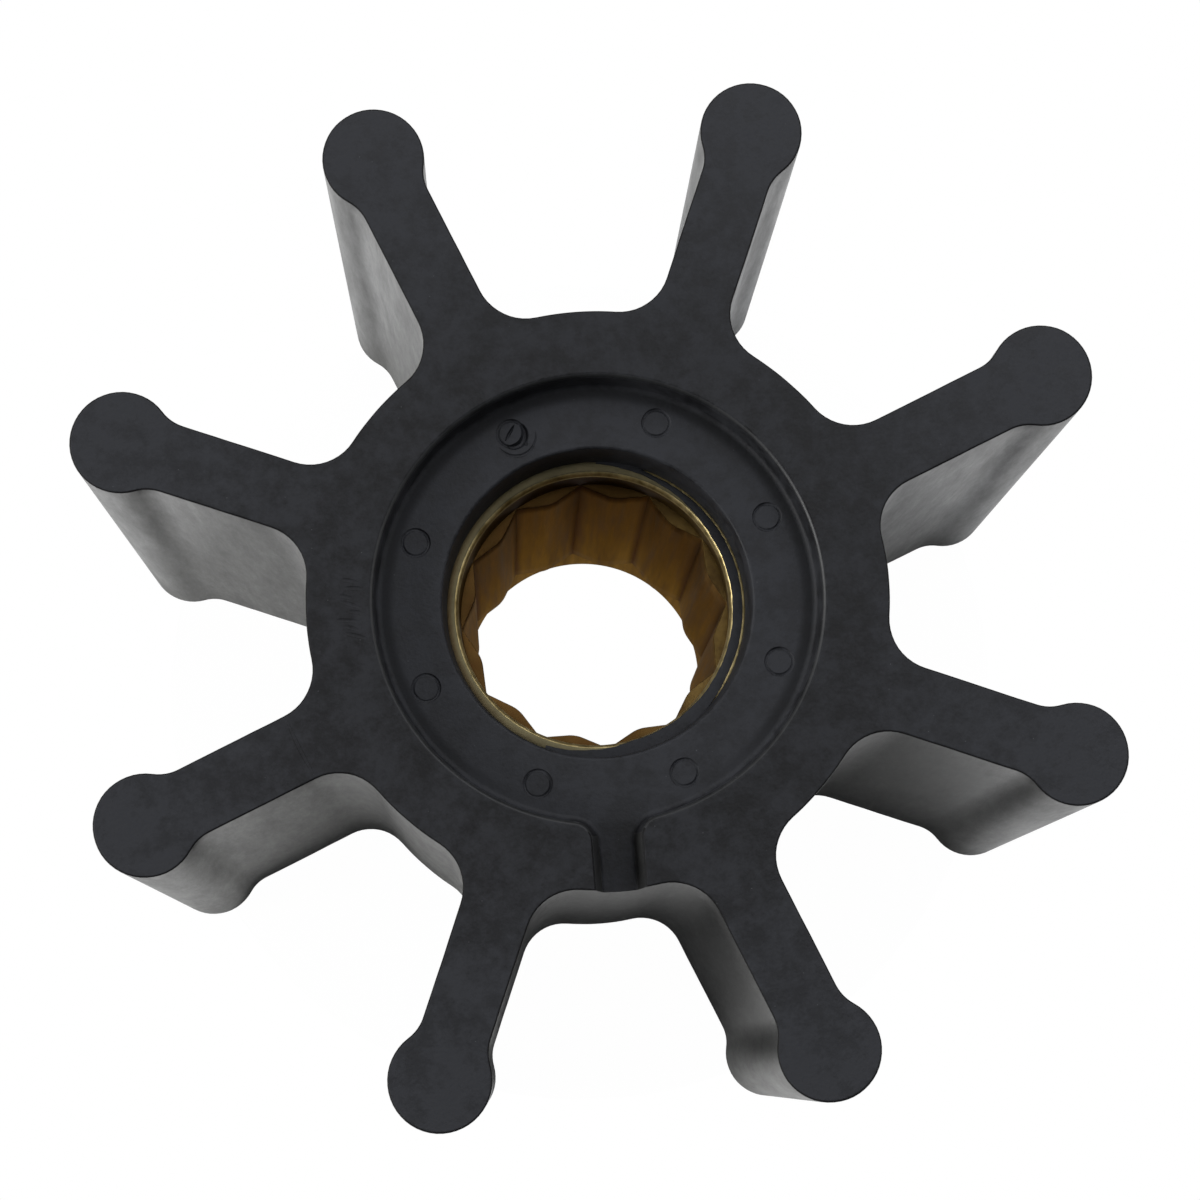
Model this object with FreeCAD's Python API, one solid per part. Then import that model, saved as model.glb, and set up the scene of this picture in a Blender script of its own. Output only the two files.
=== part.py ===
"""Flexible vane pump impeller: a rubber hub with straight radial vanes, bonded to a splined brass bush.

Frame: millimetres, +Z along the bore, the origin at the centre of the back face, which is what
the part stands on. The drain groove in the front face points along -Y.
"""
import FreeCAD, Part
import math
import os

V = FreeCAD.Vector

# Overall size
IMPELLER_DIAMETER = 65.1
IMPELLER_LENGTH = 50.2

# Vanes: straight radial blades with a round bulb along each tip
VANE_COUNT = 8
VANE_THICKNESS = 4.13
BULB_RADIUS = 3.04
NECK_FILLET = 2.5
ROOT_FILLET = 3.0
FIRST_VANE_ANGLE = 22.5

# Hub
HUB_DIAMETER = 34.3

# Internal spline of the bush: rounded lobes that meet in sharp valleys and take the drive of the shaft
SHAFT_DIAMETER = 16.0
SHAFT_CLEARANCE = 0.12
LOBE_COUNT = 12
LOBE_HEIGHT = 0.72
LOBE_CREST_RADIUS = 2.0
FIRST_VALLEY_ANGLE = 1.5
VALLEY_RADIUS = SHAFT_DIAMETER / 2.0 + SHAFT_CLEARANCE
CREST_RADIUS = VALLEY_RADIUS - LOBE_HEIGHT

# Brass bush: a smooth counterbore at each mouth clears the spline, and its wall sets the outside
COUNTERBORE_CLEARANCE = 0.03
COUNTERBORE_DEPTH = 3.6
BACK_COUNTERBORE_DEPTH = 6.2
BUSH_WALL = 0.8
LIP_CHAMFER_WIDTH = 0.3
LIP_CHAMFER_DEPTH = 0.6
COUNTERBORE_RADIUS = VALLEY_RADIUS + COUNTERBORE_CLEARANCE
BUSH_RADIUS = COUNTERBORE_RADIUS + BUSH_WALL

# Tapered mouth in the rubber, from the end of the bush out to the recess floor
BUSH_SET_BACK = 5.3
MOUTH_TAPER = 0.26
MOUTH_RADIUS = BUSH_RADIUS + MOUTH_TAPER

# Ring recess in each end face of the hub
RECESS_DIAMETER = 26.4
RECESS_DEPTH = 2.1
RECESS_DRAFT = 0.12
RECESS_EDGE_ROUND = 0.3

# Drain groove from the front recess to the pocket between two vanes
GROOVE_ANGLE = 270.0
GROOVE_WIDTH = 2.9
GROOVE_FLOOR_WIDTH = 2.2
GROOVE_CORNER_FILLET = 1.2

# How far a cutting body runs past the face that it cuts
OVERRUN = 1.0


def polar(radius, degrees, z=0.0):
    """Point at a radius and an angle about the bore axis."""
    a = math.radians(degrees)
    return V(radius * math.cos(a), radius * math.sin(a), z)


def arc(start, middle, end):
    """Circular edge through three points."""
    return Part.Arc(start, middle, end).toShape()


def line(start, end):
    """Straight edge between two points."""
    return Part.LineSegment(start, end).toShape()


def arc_about(centre, radius, from_degrees, to_degrees):
    """Circular edge about a centre, between two angles, at the centre's height."""
    middle = (from_degrees + to_degrees) / 2.0
    points = [centre + polar(radius, a) for a in (from_degrees, middle, to_degrees)]
    return arc(*points)


def vane_edges(vane_angle):
    """Outline of one vane along +X, from hub to hub, turned to its angle, with the hub arc after it."""
    half = VANE_THICKNESS / 2.0
    hub = HUB_DIAMETER / 2.0
    bulb_centre = V(IMPELLER_DIAMETER / 2.0 - BULB_RADIUS, 0, 0)

    # Root fillet: tangent to the hub circle and to the flank
    root_y = half + ROOT_FILLET
    root_x = math.sqrt((hub + ROOT_FILLET) ** 2 - root_y ** 2)
    root_turn = math.degrees(math.atan2(root_y, root_x))

    # Neck fillet: tangent to the flank and to the bulb
    neck_y = half + NECK_FILLET
    neck_x = bulb_centre.x - math.sqrt((BULB_RADIUS + NECK_FILLET) ** 2 - neck_y ** 2)
    neck_turn = math.degrees(math.atan2(neck_y, bulb_centre.x - neck_x))

    lower_root = arc_about(V(root_x, -root_y, 0), ROOT_FILLET, 180.0 - root_turn, 90.0)
    lower_flank = line(V(root_x, -half, 0), V(neck_x, -half, 0))
    lower_neck = arc_about(V(neck_x, -neck_y, 0), NECK_FILLET, 90.0, neck_turn)
    bulb = arc_about(bulb_centre, BULB_RADIUS, neck_turn - 180.0, 180.0 - neck_turn)
    upper_neck = arc_about(V(neck_x, neck_y, 0), NECK_FILLET, -neck_turn, -90.0)
    upper_flank = line(V(neck_x, half, 0), V(root_x, half, 0))
    upper_root = arc_about(V(root_x, root_y, 0), ROOT_FILLET, 270.0, 180.0 + root_turn)
    hub_arc = arc_about(V(0, 0, 0), hub, root_turn, 360.0 / VANE_COUNT - root_turn)

    edges = [lower_root, lower_flank, lower_neck, bulb, upper_neck, upper_flank, upper_root, hub_arc]
    for edge in edges:
        edge.rotate(V(0, 0, 0), V(0, 0, 1), vane_angle)
    return edges


def star_prism():
    """Hub and vanes as one prism, before anything is cut into it."""
    edges = []
    for i in range(VANE_COUNT):
        edges += vane_edges(FIRST_VANE_ANGLE + i * 360.0 / VANE_COUNT)
    wire = Part.Wire([e for group in Part.sortEdges(edges) for e in group])
    return Part.Face(wire).extrude(V(0, 0, IMPELLER_LENGTH))


def end_hollow():
    """What the mould core leaves open at the front: ring recess, tapered mouth and half of the bore.

    It is revolved from a half section whose X is the radius and whose Z runs up to the front face.
    """
    top = IMPELLER_LENGTH
    middle = top / 2.0
    floor = top - RECESS_DEPTH
    seat = top - BUSH_SET_BACK
    wall = RECESS_DIAMETER / 2.0
    edge = RECESS_EDGE_ROUND
    edge_outside = V(wall + edge, 0, top)
    edge_middle = V(wall + edge * (1.0 - math.sqrt(0.5)), 0, top - edge * (1.0 - math.sqrt(0.5)))
    edge_inside = V(wall, 0, top - edge)
    corners = [
        edge_inside,
        V(wall - RECESS_DRAFT, 0, floor),
        V(MOUTH_RADIUS, 0, floor),
        V(BUSH_RADIUS, 0, seat),
        V(BUSH_RADIUS, 0, middle),
        V(0, 0, middle),
        V(0, 0, top + OVERRUN),
        V(wall + edge, 0, top + OVERRUN),
        edge_outside,
    ]
    edges = [line(a, b) for a, b in zip(corners, corners[1:])]
    edges.append(arc(edge_outside, edge_middle, edge_inside))
    return Part.Face(Part.Wire(edges)).revolve(V(0, 0, 0), V(0, 0, 1), 360)


def groove_outline(half_width, recess_radius, z):
    """Plan of the drain groove along +X at one height, with a rounded corner where it meets the recess."""
    f = GROOVE_CORNER_FILLET
    outer = HUB_DIAMETER / 2.0 + OVERRUN
    centre_y = half_width + f
    centre_x = math.sqrt((recess_radius + f) ** 2 - centre_y ** 2)
    turn = math.degrees(math.atan2(centre_y, centre_x))
    upper = arc_about(V(centre_x, centre_y, z), f, 180.0 + turn, 270.0)
    lower = arc_about(V(centre_x, -centre_y, z), f, 90.0, 180.0 - turn)
    edges = [upper, line(V(centre_x, half_width, z), V(outer, half_width, z))]
    edges.append(line(V(outer, half_width, z), V(outer, -half_width, z)))
    edges.append(line(V(outer, -half_width, z), V(centre_x, -half_width, z)))
    edges += [lower, line(polar(recess_radius, -turn, z), polar(recess_radius, turn, z))]
    return Part.Wire(edges)


def drain_groove():
    """Body of the drain groove: its floor is level with the recess floor and its walls have draft."""
    foot = RECESS_DIAMETER / 2.0 - RECESS_DRAFT
    wall = RECESS_DIAMETER / 2.0
    floor_plan = groove_outline(GROOVE_FLOOR_WIDTH / 2.0, foot, IMPELLER_LENGTH - RECESS_DEPTH)
    top_plan = groove_outline(GROOVE_WIDTH / 2.0, wall, IMPELLER_LENGTH)
    body = Part.makeLoft([floor_plan, top_plan], True, True)
    body.rotate(V(0, 0, 0), V(0, 0, 1), GROOVE_ANGLE)
    return body


def rubber_impeller():
    """The moulding: star prism, hollowed from both ends, with the drain groove in its front face."""
    front = end_hollow()
    back = front.mirror(V(0, 0, IMPELLER_LENGTH / 2.0), V(0, 0, 1))
    return star_prism().cut(front).cut(back).cut(drain_groove())


def lobe_edges(valley_angle):
    """One lobe of the spline from valley to valley: flank, round crest, flank, all at z = 0."""
    pitch = 360.0 / LOBE_COUNT
    centre = V(CREST_RADIUS + LOBE_CREST_RADIUS, 0, 0)
    start = polar(VALLEY_RADIUS, -pitch / 2.0)
    end = polar(VALLEY_RADIUS, pitch / 2.0)

    # Tangent from the valley point to the crest circle
    reach = end - centre
    lean = math.degrees(math.atan2(reach.y, reach.x))
    open_angle = math.degrees(math.acos(LOBE_CREST_RADIUS / reach.Length))
    touch = lean + open_angle
    crest_end = centre + polar(LOBE_CREST_RADIUS, touch)
    crest_start = centre + polar(LOBE_CREST_RADIUS, -touch)
    crest_arc = arc(crest_start, V(CREST_RADIUS, 0, 0), crest_end)

    edges = [line(start, crest_start), crest_arc, line(crest_end, end)]
    for edge in edges:
        edge.rotate(V(0, 0, 0), V(0, 0, 1), valley_angle + pitch / 2.0)
    return edges


def bush_end_cut(length, depth):
    """Counterbore of a depth and lip chamfer at one mouth, revolved, for a bush that ends at z = length."""
    lip = COUNTERBORE_RADIUS + LIP_CHAMFER_WIDTH
    points = [
        V(0, 0, length + OVERRUN),
        V(lip, 0, length + OVERRUN),
        V(lip, 0, length),
        V(COUNTERBORE_RADIUS, 0, length - LIP_CHAMFER_DEPTH),
        V(COUNTERBORE_RADIUS, 0, length - depth),
        V(0, 0, length - depth),
    ]
    face = Part.Face(Part.makePolygon(points + points[:1]))
    return face.revolve(V(0, 0, 0), V(0, 0, 1), 360)


def splined_bush():
    """The brass bush, broached through and counterbored from both ends."""
    length = IMPELLER_LENGTH - 2.0 * BUSH_SET_BACK
    edges = []
    for i in range(LOBE_COUNT):
        edges += lobe_edges(FIRST_VALLEY_ANGLE + i * 360.0 / LOBE_COUNT)
    star = Part.Face(Part.Wire([e for group in Part.sortEdges(edges) for e in group]))
    star.translate(V(0, 0, -OVERRUN))
    broach = star.extrude(V(0, 0, length + 2.0 * OVERRUN))
    front = bush_end_cut(length, COUNTERBORE_DEPTH)
    back = bush_end_cut(length, BACK_COUNTERBORE_DEPTH).mirror(V(0, 0, length / 2.0), V(0, 0, 1))
    blank = Part.makeCylinder(BUSH_RADIUS, length)
    bush = blank.cut(broach).cut(front).cut(back)
    bush.translate(V(0, 0, BUSH_SET_BACK))
    return bush


PIECES = {
    "rubber_impeller": rubber_impeller,
    "splined_bush": splined_bush,
}

os.makedirs("parts", exist_ok=True)
for name, make in PIECES.items():
    shape = make()
    solids = shape.Solids
    print(name, "solids", len(solids), "valid", shape.isValid(), "volume", round(shape.Volume, 2))
    piece = solids[0] if len(solids) == 1 else shape
    piece.exportStep(os.path.join("parts", name + ".step"))
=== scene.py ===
"""Looks of a flexible vane pump impeller: a black rubber moulding with a splined brass bush in its bore.

The row frame is in metres with +Z along the bore. Sizes here are in millimetres and are scaled as a mesh
is made. Points of a plan are complex numbers, x + iy, so a turn about the bore is a product with
exp(i * angle).
"""
import bmesh
import bpy
import math
import numpy as np
from mathutils import Matrix, Vector


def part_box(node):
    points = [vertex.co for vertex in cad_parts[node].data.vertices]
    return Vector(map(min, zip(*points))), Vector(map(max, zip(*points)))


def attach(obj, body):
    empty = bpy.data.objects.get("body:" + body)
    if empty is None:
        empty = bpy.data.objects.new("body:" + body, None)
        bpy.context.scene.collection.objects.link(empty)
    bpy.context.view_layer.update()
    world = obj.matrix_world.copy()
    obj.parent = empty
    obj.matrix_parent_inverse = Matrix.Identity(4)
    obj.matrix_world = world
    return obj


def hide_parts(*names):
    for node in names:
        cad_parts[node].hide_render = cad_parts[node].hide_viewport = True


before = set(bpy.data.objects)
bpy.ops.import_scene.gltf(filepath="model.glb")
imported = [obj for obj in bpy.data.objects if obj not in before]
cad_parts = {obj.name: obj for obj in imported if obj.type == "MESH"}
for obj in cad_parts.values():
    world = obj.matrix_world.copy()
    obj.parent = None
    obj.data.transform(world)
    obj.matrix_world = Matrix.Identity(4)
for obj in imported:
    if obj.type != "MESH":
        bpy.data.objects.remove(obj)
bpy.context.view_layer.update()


# Rubber moulding: the hub and its eight straight vanes, each with a round bulb along its tip.
# It is one piece of black nitrile rubber, moulded in one shot round the bush between two mould cores.

MM = 0.001
rubber_low, rubber_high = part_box("rubber_impeller")
LENGTH = rubber_high.z / MM
VANE_COUNT = 8
VANE_PITCH = 360.0 / VANE_COUNT
FIRST_VANE_ANGLE = VANE_PITCH / 2.0
VANE_HALF = 4.13 / 2.0
BULB_RADIUS = 3.04
BULB_CENTRE = (rubber_high.x / MM - BULB_RADIUS) / math.cos(math.radians(VANE_PITCH / 2.0))
NECK_FILLET = 2.5
ROOT_FILLET = 3.0
HUB_RADIUS = 34.3 / 2.0
FACE_EDGE_ROUND = 0.14
TIP_EDGE_ROUND = 0.18
OUTLINE_STEP = 0.4
WALL_ROWS = 26
EDGE_ROWS = 5
# Each sine of the wall's belly: size, rate along the outline, rate along the height, start
WALL_BELLY = ((0.010, 0.31, 0.03, 0.0), (0.005, 0.83, -0.02, 1.3), (0.004, 0.17, 0.09, 4.0))
NICK_SIZE = 0.006
NICK_RATES = (2.3, 0.71, 0.19)


def arc_points(centre, radius, start, end, side=1.0):
    """Points and outward normals along an arc, without its last point.

    A point is centre + radius * exp(i * angle) and its normal is side * exp(i * angle): side is 1 on a
    round outside and -1 in a hollow. The arc has a point about every outline step.
    """
    length = abs(math.radians(end - start)) * radius
    steps = max(6, math.ceil(length / OUTLINE_STEP))
    spoke = np.exp(1j * np.radians(np.linspace(start, end, steps, endpoint=False)))
    return centre + radius * spoke, side * spoke


def run_points(start, end):
    """Points along a straight run and their normal, which is the run's direction turned by -90 degrees."""
    steps = max(2, math.ceil(abs(end - start) / OUTLINE_STEP))
    along = np.linspace(0.0, 1.0, steps, endpoint=False)
    normal = -1j * (end - start) / abs(end - start)
    return start + (end - start) * along, np.full(steps, normal)


def joined(parts):
    """One outline from several pieces of outline: all their points, and all their normals."""
    points, normals = zip(*parts)
    return np.concatenate(points), np.concatenate(normals)


def vane_outline():
    """Plan of one vane along +X from hub to hub, anticlockwise, and the hub arc that follows it."""
    root_y = VANE_HALF + ROOT_FILLET
    root = math.sqrt((HUB_RADIUS + ROOT_FILLET) ** 2 - root_y ** 2) + 1j * root_y
    neck_y = VANE_HALF + NECK_FILLET
    neck = BULB_CENTRE - math.sqrt((BULB_RADIUS + NECK_FILLET) ** 2 - neck_y ** 2) + 1j * neck_y
    root_turn = math.degrees(np.angle(root))
    neck_turn = math.degrees(math.atan2(neck_y, BULB_CENTRE - neck.real))
    flank = 1j * VANE_HALF
    return joined([
        arc_points(root.conjugate(), ROOT_FILLET, 180.0 - root_turn, 90.0, -1.0),
        run_points(root.real - flank, neck.real - flank),
        arc_points(neck.conjugate(), NECK_FILLET, 90.0, neck_turn, -1.0),
        arc_points(BULB_CENTRE, BULB_RADIUS, neck_turn - 180.0, 180.0 - neck_turn),
        arc_points(neck, NECK_FILLET, -neck_turn, -90.0, -1.0),
        run_points(neck.real + flank, root.real + flank),
        arc_points(root, ROOT_FILLET, 270.0, 180.0 + root_turn, -1.0),
        arc_points(0.0, HUB_RADIUS, root_turn, VANE_PITCH - root_turn),
    ])


def mesh_from_rings(name, rings, ring_of_rings=False):
    """Closed mesh from an array of rings of points, rings x points x 3, in millimetres.

    Each ring is closed and is joined to the next by quads. The first and last ring are joined to each
    other, or each is filled by one flat face. Faces point outwards where rings run anticlockwise and rise.
    """
    count, points = rings.shape[:2]
    index = np.arange(count * points).reshape(count, points)
    lower = index if ring_of_rings else index[:-1]
    upper = np.roll(index, -1, axis=0) if ring_of_rings else index[1:]
    quads = np.stack([lower, np.roll(lower, -1, axis=1), np.roll(upper, -1, axis=1), upper], axis=-1)
    faces = quads.reshape(-1, 4).tolist()
    if not ring_of_rings:
        faces += [index[0, ::-1].tolist(), index[-1].tolist()]
    mesh = bpy.data.meshes.new(name)
    mesh.from_pydata((rings.reshape(-1, 3) * MM).tolist(), [], faces)
    mesh.validate()
    piece = bpy.data.objects.new(name, mesh)
    bpy.context.scene.collection.objects.link(piece)
    return piece


def swept(name, outline, inset, height):
    """Closed solid of an outline: each ring is drawn in along its normals by inset, at its height."""
    points, normals = outline
    plan = points - inset * normals
    rise = np.broadcast_to(height, plan.shape)
    return mesh_from_rings(name, np.stack([plan.real, plan.imag, rise], axis=-1))


def star_prism():
    """Hub and vanes before they are hollowed.

    The plan repeats one vane outline round the bore. The wall is drawn in at both ends along a quarter
    circle, wider at the bulb tips, and bellies in and out by a few hundredths: a sum of three sines of the
    distance along the outline and of the height. Fine nicks are a product of sines of that distance.
    """
    points, normals = vane_outline()
    turns = np.exp(1j * np.radians(FIRST_VANE_ANGLE + VANE_PITCH * np.arange(VANE_COUNT)))[:, None]
    outline = (turns * points).ravel(), (turns * normals).ravel()
    reach = np.clip((np.abs(outline[0]) - BULB_CENTRE) / BULB_RADIUS, 0.0, 1.0)
    edge = FACE_EDGE_ROUND + (TIP_EDGE_ROUND - FACE_EDGE_ROUND) * reach ** 2
    quarter = np.radians(np.linspace(0.0, 90.0, EDGE_ROWS))[:, None]
    rise = np.linspace(0.0, 1.0, WALL_ROWS + 2)[1:-1, None]
    foot = edge * (1.0 - np.sin(quarter[::-1]))
    wall = edge + (LENGTH - 2.0 * edge) * rise
    height = np.concatenate([foot, wall, LENGTH - foot[::-1]])
    drawn_in = edge * (1.0 - np.cos(quarter[::-1]))
    inset = np.concatenate([drawn_in, np.zeros_like(wall), drawn_in[::-1]])
    along = np.cumsum(np.abs(np.diff(outline[0], prepend=outline[0][-1])))
    belly = sum(size * np.sin(a * along + b * height + start) for size, a, b, start in WALL_BELLY)
    fast, middle, slow = NICK_RATES
    nicks = NICK_SIZE * np.sin(fast * along) * np.sin(middle * along + 2.0) * np.sin(slow * along)
    return swept("rubber_moulding", outline, inset + belly + nicks, height)


def carve(body, cutter, operation="DIFFERENCE"):
    """Takes the cutter out of the body for good, or adds it, and removes the cutter."""
    step = body.modifiers.new("carve", "BOOLEAN")
    step.operation = operation
    step.solver = "EXACT"
    step.object = cutter
    graph = bpy.context.evaluated_depsgraph_get()
    result = bpy.data.meshes.new_from_object(body.evaluated_get(graph))
    body.modifiers.clear()
    body.data = result
    bpy.data.objects.remove(cutter)


def merged(name, pieces):
    """One object with the meshes of several pieces that don't touch."""
    whole = bmesh.new()
    for piece in pieces:
        whole.from_mesh(piece.data)
        bpy.data.objects.remove(piece)
    mesh = bpy.data.meshes.new(name)
    whole.to_mesh(mesh)
    whole.free()
    result = bpy.data.objects.new(name, mesh)
    bpy.context.scene.collection.objects.link(result)
    return result


RECESS_RADIUS = 26.4 / 2.0
RECESS_DEPTH = 2.1
RECESS_DRAFT = 0.12
RECESS_EDGE_ROUND = 0.3
RECESS_FLOOR_FILLET = 0.38
MOUTH_RADIUS = 9.21
MOUTH_EDGE_ROUND = 0.2
BUSH_RADIUS = 8.95
BUSH_SET_BACK = 5.3
MOUTH_POINTS = 240
OVERRUN = 1.0
BELOW_EDGE = 1.02


def quarter_arc(radius, rows=EDGE_ROWS):
    """Offsets across and along a quarter circle, from along the wall to along the face."""
    turn = np.radians(np.linspace(0.0, 90.0, rows))
    return radius * (1.0 - np.cos(turn)), radius * np.sin(turn)


def recess_section(edge, fillet, draft):
    """Section of the wall of a recess, from its floor to past the face: outward offset and depth.

    The floor runs into the wall by a fillet, the wall leans out by the draft, and the top edge is rounded
    off. One more row lies just below that edge, to hold its shading.
    """
    out, up = quarter_arc(fillet)
    across = [
        -draft - out[::-1],
        np.array([-draft * edge / RECESS_DEPTH]),
        out / fillet * edge,
        np.array([edge]),
    ]
    depth = [
        RECESS_DEPTH - (fillet - up[::-1]),
        np.array([edge * BELOW_EDGE]),
        edge - up / fillet * edge,
        np.array([-OVERRUN]),
    ]
    return np.concatenate(across)[:, None], np.concatenate(depth)[:, None]


def bore_cutter():
    """Body of revolution that opens the bore, both tapered mouths and the ring recess of the back face.

    Its radius is a function of height: back recess, rounded mouth edge, mouth taper, bore, and the same
    upwards, where it stops at the width of the front mouth because the front recess is cut together with
    its groove.
    """
    turn = np.exp(1j * np.radians(np.linspace(0.0, 360.0, MOUTH_POINTS, endpoint=False)))
    out, up = quarter_arc(MOUTH_EDGE_ROUND)
    mouth_radius = np.concatenate([MOUTH_RADIUS + out[::-1], [BUSH_RADIUS]])
    mouth_depth = np.concatenate([RECESS_DEPTH + MOUTH_EDGE_ROUND - up[::-1], [BUSH_SET_BACK]])
    offset, depth = recess_section(RECESS_EDGE_ROUND, RECESS_FLOOR_FILLET, RECESS_DRAFT)
    recess_radius = RECESS_RADIUS + offset[::-1, 0]
    radius = np.concatenate([recess_radius, mouth_radius, mouth_radius[::-1], mouth_radius[:1]])
    height = np.concatenate([depth[::-1, 0], mouth_depth, LENGTH - mouth_depth[::-1], [LENGTH + OVERRUN]])
    return swept("bore_cutter", (turn, turn), 1.0 - radius[:, None], height[:, None])


GROOVE_ANGLE = 270.0
GROOVE_HALF = 2.9 / 2.0
GROOVE_FLOOR_HALF = 2.2 / 2.0
GROOVE_CORNER_FILLET = 1.2
GROOVE_EDGE_ROUND = 0.16
GROOVE_FLOOR_FILLET = 0.3


def front_recess_cutter():
    """Ring recess of the front face with its drain groove, as one outline with one rounded edge.

    The outline is the recess circle, a hollow corner arc on each side of the groove, the groove's two
    walls and a round end that lies past the hub. Draft and edge round change from the recess's to the
    groove's along the corner.
    """
    corner = GROOVE_HALF + GROOVE_CORNER_FILLET
    centre = math.sqrt((RECESS_RADIUS + GROOVE_CORNER_FILLET) ** 2 - corner ** 2) + 1j * corner
    turn = math.degrees(np.angle(centre))
    end = HUB_RADIUS + OVERRUN + GROOVE_HALF
    wall = 1j * GROOVE_HALF
    parts = [
        arc_points(0.0, RECESS_RADIUS, turn, 360.0 - turn),
        arc_points(centre.conjugate(), GROOVE_CORNER_FILLET, 180.0 - turn, 90.0, -1.0),
        run_points(centre.real - wall, end - wall),
        arc_points(end, GROOVE_HALF, -90.0, 90.0),
        run_points(end + wall, centre.real + wall),
        arc_points(centre, GROOVE_CORNER_FILLET, 270.0, 180.0 + turn, -1.0),
    ]
    counts = [len(points) for points, _ in parts]
    shares = [
        np.zeros(counts[0]),
        np.linspace(0.0, 1.0, counts[1]),
        np.ones(counts[2] + counts[3] + counts[4]),
        np.linspace(1.0, 0.0, counts[5]),
    ]
    share = np.concatenate(shares)
    points, normals = joined(parts)
    heading = np.exp(1j * math.radians(GROOVE_ANGLE))
    in_recess = recess_section(RECESS_EDGE_ROUND, RECESS_FLOOR_FILLET, RECESS_DRAFT)
    in_groove = recess_section(GROOVE_EDGE_ROUND, GROOVE_FLOOR_FILLET, GROOVE_HALF - GROOVE_FLOOR_HALF)
    offset, depth = [a + (b - a) * share for a, b in zip(in_recess, in_groove)]
    return swept("recess_cutter", (points * heading, normals * heading), -offset, LENGTH - depth)


PIN_CIRCLE_RADIUS = 11.33
PIN_MARK_RADIUS = 0.785
PIN_GROOVE_HALF = 0.11
PIN_GROOVE_DEPTH = 0.15
PIN_GROOVE_UNEVEN = 0.25
PIN_DISC_DEPTH = 0.05
PIN_MARK_POINTS = 56


def pin_mark_cutter(angle):
    """Mark of an ejector pin in the recess floor: a shallow disc with a fine round groove along its edge.

    The groove is an ellipse in section. Its depth rises and falls twice along its length.
    """
    heading = np.radians(np.linspace(0.0, 360.0, PIN_MARK_POINTS, endpoint=False))
    turn = np.exp(1j * heading)
    place = PIN_CIRCLE_RADIUS * np.exp(1j * math.radians(angle))
    dip = np.radians(np.linspace(180.0, 360.0, 7))
    radius = np.append(PIN_MARK_RADIUS + PIN_GROOVE_HALF * np.cos(dip), PIN_MARK_RADIUS + PIN_GROOVE_HALF)
    uneven = 1.0 - PIN_GROOVE_UNEVEN + PIN_GROOVE_UNEVEN * np.sin(2.0 * heading + angle)
    sink = -PIN_GROOVE_DEPTH * np.abs(np.sin(dip))[:, None] * uneven
    sink[0] = -PIN_DISC_DEPTH
    height = np.concatenate([LENGTH - RECESS_DEPTH + sink, np.full((1, len(turn)), LENGTH)])
    return swept("pin_cutter", (place + turn, turn), 1.0 - radius[:, None], height)


def bead(name, path, half_width, half_height, level, sides=10):
    """Closed bead along an open path at one level: an ellipse carried along it, thinning at both ends.

    The ellipse's width lies across the path in plan. The taper is the square root of a half sine of the
    share of the path, so the ends are blunt.
    """
    path = np.asarray(path)
    across = -1j * np.gradient(path)
    across = across / np.abs(across)
    share = np.linspace(0.02, 0.98, len(path))
    taper = np.sqrt(np.sin(share * math.pi))[:, None]
    turn = np.radians(np.linspace(360.0, 0.0, sides, endpoint=False))
    plan = path[:, None] + across[:, None] * half_width * taper * np.cos(turn)
    rise = level + half_height * taper * np.sin(turn)
    return mesh_from_rings(name, np.stack([plan.real, plan.imag, rise], axis=-1))


# Places of the gate's marks are offsets from the middle of its pin mark, and sizes are half width and
# half height of a bead
GATE_ANGLE = FIRST_VANE_ANGLE + 2.0 * VANE_PITCH
GATE_SLOT_OFFSET = -0.08 + 0.05j
GATE_SLOT_LENGTH = 1.1
GATE_SLOT_SLANT = 57.0
GATE_SLOT_SIZE = (0.1, 0.26)
GATE_TEAR_OFFSET = 0.78 - 0.62j
GATE_TEAR_LENGTH = 0.42
GATE_TEAR_SLANT = -52.0
GATE_TEAR_SIZE = (0.16, 0.2)
GATE_CREASE_OFFSET = 0.28 - 0.2j
GATE_CREASE_RADIUS = 1.18
GATE_CREASE_ANGLES = (-150.0, 12.0)
GATE_CREASE_SIZE = (0.11, 0.1)
GATE_CRESCENT_OFFSET = 0.03 - 0.02j
GATE_CRESCENT_ANGLES = (-118.0, 48.0)
GATE_CRESCENT_SIZE = (0.25, 0.45)


def gate_marks():
    """Torn gate at one pin mark: a slanting slot across its disc, a deep crescent, a tear and a crease.

    The slot and the tear are straight, and the crease and the crescent are arcs.
    """
    place = PIN_CIRCLE_RADIUS * np.exp(1j * math.radians(GATE_ANGLE))
    floor = LENGTH - RECESS_DEPTH
    along = np.linspace(-0.5, 0.5, 14)
    slot_turn = np.exp(1j * math.radians(GATE_SLOT_SLANT))
    slot = place + GATE_SLOT_OFFSET + slot_turn * GATE_SLOT_LENGTH * along
    tear_turn = np.exp(1j * math.radians(GATE_TEAR_SLANT))
    tear = place + GATE_TEAR_OFFSET + GATE_TEAR_LENGTH * tear_turn * along
    crease_turn = np.exp(1j * np.radians(np.linspace(*GATE_CREASE_ANGLES, 40)))
    crease = place + GATE_CREASE_OFFSET + GATE_CREASE_RADIUS * crease_turn
    crescent_turn = np.exp(1j * np.radians(np.linspace(*GATE_CRESCENT_ANGLES, 32)))
    crescent = place + GATE_CRESCENT_OFFSET + PIN_MARK_RADIUS * crescent_turn
    return [
        bead("gate_slot", slot, *GATE_SLOT_SIZE, floor - PIN_DISC_DEPTH),
        bead("gate_tear", tear, *GATE_TEAR_SIZE, floor),
        bead("gate_crease", crease, *GATE_CREASE_SIZE, floor),
        bead("gate_crescent", crescent, *GATE_CRESCENT_SIZE, floor),
    ]


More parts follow.
